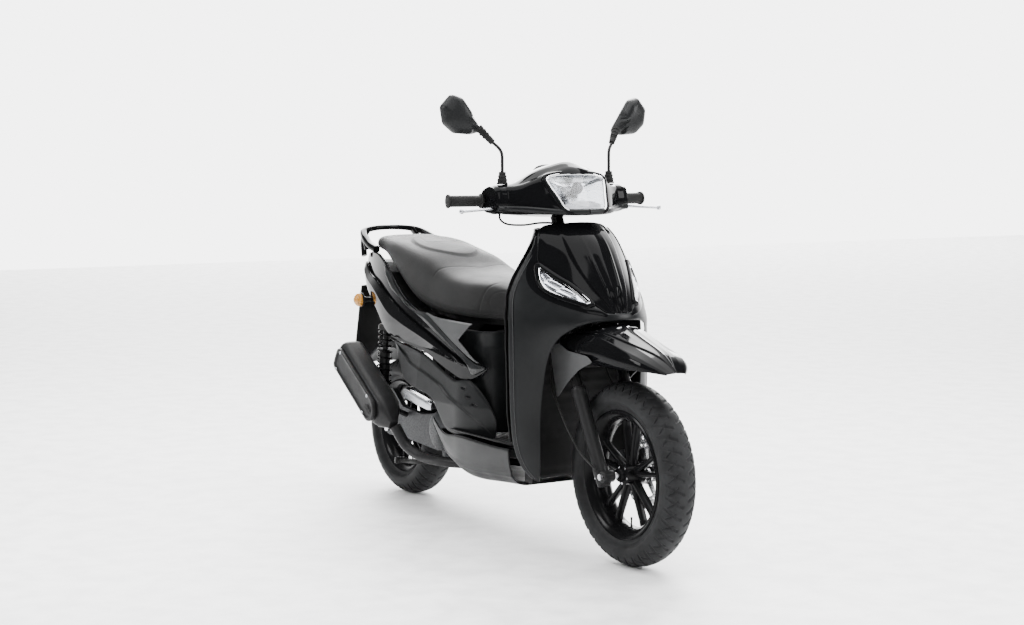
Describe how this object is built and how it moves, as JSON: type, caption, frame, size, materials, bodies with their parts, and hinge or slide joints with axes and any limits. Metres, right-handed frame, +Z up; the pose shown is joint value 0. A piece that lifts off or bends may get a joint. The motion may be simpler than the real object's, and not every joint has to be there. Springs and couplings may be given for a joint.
{
  "type": "moped scooter",
  "caption": "Step-through moped scooter with a steered and sprung front wheel, a swinging engine unit, a hinged seat over a storage bucket, a centre stand and folding footrests.",
  "frame": {"origin": "on the ground, midway between the front tyre's tip and the plate holder's lowest corner, in the scooter's middle plane", "axes": "+X forward, +Y to the rider's left, +Z up"},
  "size_m": [1.867, 0.7236, 1.351],
  "materials": {
    "gloss_black": "gloss",
    "satin_black": "satin",
    "matte_black": "matte",
    "frame_black": "satin",
    "rubber": "matte",
    "tyre_rubber": "matte",
    "wheel_black": "gloss",
    "steel": "satin",
    "aluminium": "satin",
    "case_grey": "satin",
    "clear_lens": "gloss",
    "amber_lens": "gloss",
    "red_lens": "gloss",
    "seat_vinyl": "matte",
    "mirror_silver": "polished"
  },
  "bodies": {
    "root": {"main_frame": "frame_black", "leg_shield": "satin_black", "front_panel": "gloss_black", "front_indicator_left": "clear_lens", "front_indicator_right": "clear_lens", "inner_shield": "matte_black", "floorboard": "matte_black", "belly_pan": "gloss_black", "underseat_cover": "satin_black", "side_panel_left": "gloss_black", "side_panel_right": "gloss_black", "tail_light": "red_lens", "grab_rail": "gloss_black", "rear_mudguard": "satin_black", "rear_indicator_left": "amber_lens", "rear_indicator_right": "amber_lens", "storage_bucket": "matte_black", "fuel_tank": "matte_black"},
    "seat": {"seat_cushion": "seat_vinyl", "seat_base": "matte_black"},
    "stand": {"centre_stand": "frame_black"},
    "footrest_left": {"passenger_footrest_left": "aluminium"},
    "footrest_right": {"passenger_footrest_right": "aluminium"},
    "steering": {"fork_upper": "frame_black", "handlebar": "frame_black", "handlebar_cover": "gloss_black", "instrument_panel": "matte_black", "headlight": "clear_lens", "grip_left": "rubber", "brake_perch_left": "frame_black", "brake_perch_right": "frame_black", "mirror_stem_left": "frame_black", "mirror_stem_right": "frame_black", "front_mudguard": "gloss_black", "brake_hose": "rubber", "speedo_cable": "rubber"},
    "throttle": {"throttle_grip": "rubber"},
    "lever_left": {"brake_lever_left": "aluminium"},
    "lever_right": {"brake_lever_right": "aluminium"},
    "starter": {"starter_button": "rubber"},
    "horn": {"horn_button": "rubber"},
    "mirror_left": {"mirror_shell_left": "matte_black", "mirror_glass_left": "mirror_silver"},
    "mirror_right": {"mirror_shell_right": "matte_black", "mirror_glass_right": "mirror_silver"},
    "fork_lower": {"fork_leg_left": "frame_black", "fork_leg_right": "frame_black", "front_axle": "steel", "brake_caliper": "aluminium"},
    "front_wheel": {"front_tyre": "tyre_rubber", "front_rim": "wheel_black", "brake_disc": "steel"},
    "engine": {"engine_case": "case_grey", "exhaust": "case_grey", "muffler_cover": "matte_black"},
    "rear_wheel": {"rear_tyre": "tyre_rubber", "rear_rim": "wheel_black"},
    "shock_upper": {"shock_rod": "steel"},
    "shock_lower": {"shock_body": "frame_black", "shock_spring": "frame_black"}
  },
  "joints": [
    {"name": "steering_turn", "type": "hinge", "parent": "root", "child": "steering", "pos_m": [0.40348, 0, 0.72043], "axis": [-0.4617, 0, 0.887], "range_deg": [-30, 30]},
    {"name": "fork_slide", "type": "slide", "parent": "steering", "child": "fork_lower", "axis": [-0.4617, 0, 0.887], "range_m": [-0.03, 0.05], "stiffness_N_per_m": 9000, "springref_m": -0.0352, "deforming": ["brake_hose", "speedo_cable"]},
    {"name": "front_wheel_spin", "type": "hinge", "parent": "fork_lower", "child": "front_wheel", "pos_m": [0.6675, 0, 0.266], "axis": [0, 1, 0], "continuous": true},
    {"name": "engine_swing", "type": "hinge", "parent": "root", "child": "engine", "pos_m": [-0.2, 0, 0.362], "axis": [0, 1, 0], "range_deg": [-4, 5], "stiffness_Nm_per_rad": 4500, "springref_deg": -2.86, "deforming": ["shock_spring"]},
    {"name": "rear_wheel_spin", "type": "hinge", "parent": "engine", "child": "rear_wheel", "pos_m": [-0.6675, 0, 0.2364], "axis": [0, 1, 0], "continuous": true},
    {"name": "shock_rod_swing", "type": "hinge", "parent": "root", "child": "shock_upper", "pos_m": [-0.6, -0.13, 0.63], "axis": [0, 1, 0], "range_deg": [-1.5, 1.5]},
    {"name": "shock_body_swing", "type": "hinge", "parent": "engine", "child": "shock_lower", "pos_m": [-0.64, -0.13, 0.36], "axis": [0, 1, 0], "range_deg": [-4.5, 4.5]},
    {"name": "stand_swing", "type": "hinge", "parent": "engine", "child": "stand", "pos_m": [-0.335, 0, 0.165], "axis": [0, -1, 0], "range_deg": [0, 80], "stiffness_Nm_per_rad": 4, "springref_deg": -34.38},
    {"name": "footrest_left_fold", "type": "hinge", "parent": "root", "child": "footrest_left", "pos_m": [-0.335, 0.196, 0.396], "axis": [0, 0, 1], "range_deg": [0, 80]},
    {"name": "footrest_right_fold", "type": "hinge", "parent": "root", "child": "footrest_right", "pos_m": [-0.335, -0.196, 0.396], "axis": [0, 0, -1], "range_deg": [0, 80]},
    {"name": "seat_hinge", "type": "hinge", "parent": "root", "child": "seat", "pos_m": [0.118, 0, 0.655], "axis": [0, 1, 0], "range_deg": [0, 55]},
    {"name": "throttle_turn", "type": "hinge", "parent": "steering", "child": "throttle", "pos_m": [0.22309, -0.24, 1.04], "axis": [-0.1362, -0.9907, 0], "range_deg": [0, 75], "stiffness_Nm_per_rad": 0.3, "springref_deg": -22.92},
    {"name": "brake_lever_left_pull", "type": "hinge", "parent": "steering", "child": "lever_left", "pos_m": [0.262, 0.207, 1.022], "axis": [0, 0, 1], "range_deg": [0, 18], "stiffness_Nm_per_rad": 1.5, "springref_deg": -11.46},
    {"name": "brake_lever_right_pull", "type": "hinge", "parent": "steering", "child": "lever_right", "pos_m": [0.262, -0.207, 1.022], "axis": [0, 0, -1], "range_deg": [0, 18], "stiffness_Nm_per_rad": 1.5, "springref_deg": -11.46},
    {"name": "starter_press", "type": "slide", "parent": "steering", "child": "starter", "axis": [1, 0, 0], "range_m": [0, 0.003], "stiffness_N_per_m": 400, "springref_m": -0.002},
    {"name": "horn_press", "type": "slide", "parent": "steering", "child": "horn", "axis": [1, 0, 0], "range_m": [0, 0.003], "stiffness_N_per_m": 400, "springref_m": -0.002},
    {"name": "mirror_left_turn", "type": "hinge", "parent": "steering", "child": "mirror_left", "pos_m": [0.238, 0.221, 1.221], "axis": [-0.4285, 0.5535, 0.7142], "range_deg": [-20, 20]},
    {"name": "mirror_right_turn", "type": "hinge", "parent": "steering", "child": "mirror_right", "pos_m": [0.238, -0.221, 1.221], "axis": [-0.4285, -0.5535, 0.7142], "range_deg": [-20, 20]}
  ],
  "couplings": [
    {"joint": "shock_rod_swing", "follows": "engine_swing", "ratio": 0.235},
    {"joint": "shock_body_swing", "follows": "engine_swing", "ratio": -0.765}
  ]
}
